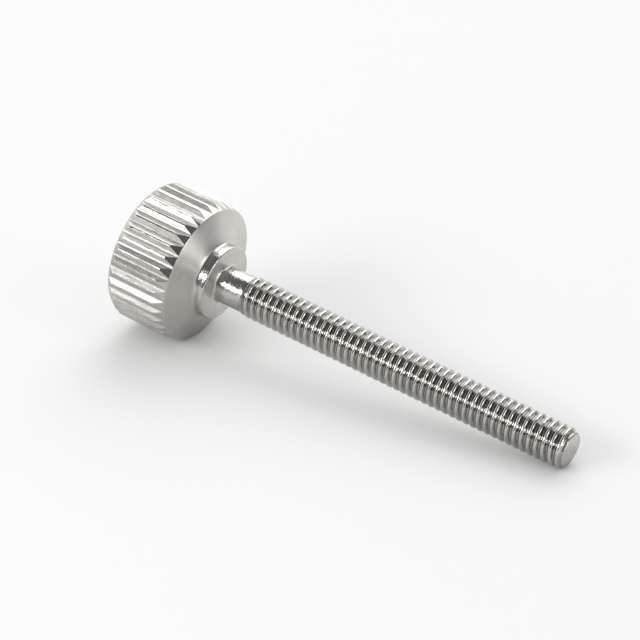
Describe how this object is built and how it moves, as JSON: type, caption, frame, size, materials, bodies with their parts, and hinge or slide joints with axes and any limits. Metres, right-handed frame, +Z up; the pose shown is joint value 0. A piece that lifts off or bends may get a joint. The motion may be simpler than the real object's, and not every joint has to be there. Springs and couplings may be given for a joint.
{
  "type": "thumb screw",
  "caption": "Turned thumb screw with a thick straight-knurled head, a coned front, a round seating collar, a plain neck and a long threaded shank.",
  "frame": {"origin": "on the ground, under the middle of the part's box, with the screw lying on its knurl and its tip", "axes": "+X along the ground from the head to the tip, +Z up"},
  "size_m": [0.0498, 0.0146, 0.0151],
  "materials": {
    "bright_metal": "bright turned metal, satin on the cone and on the flat faces"
  },
  "bodies": {
    "root": {"thumb_screw": "bright_metal"}
  },
  "joints": []
}
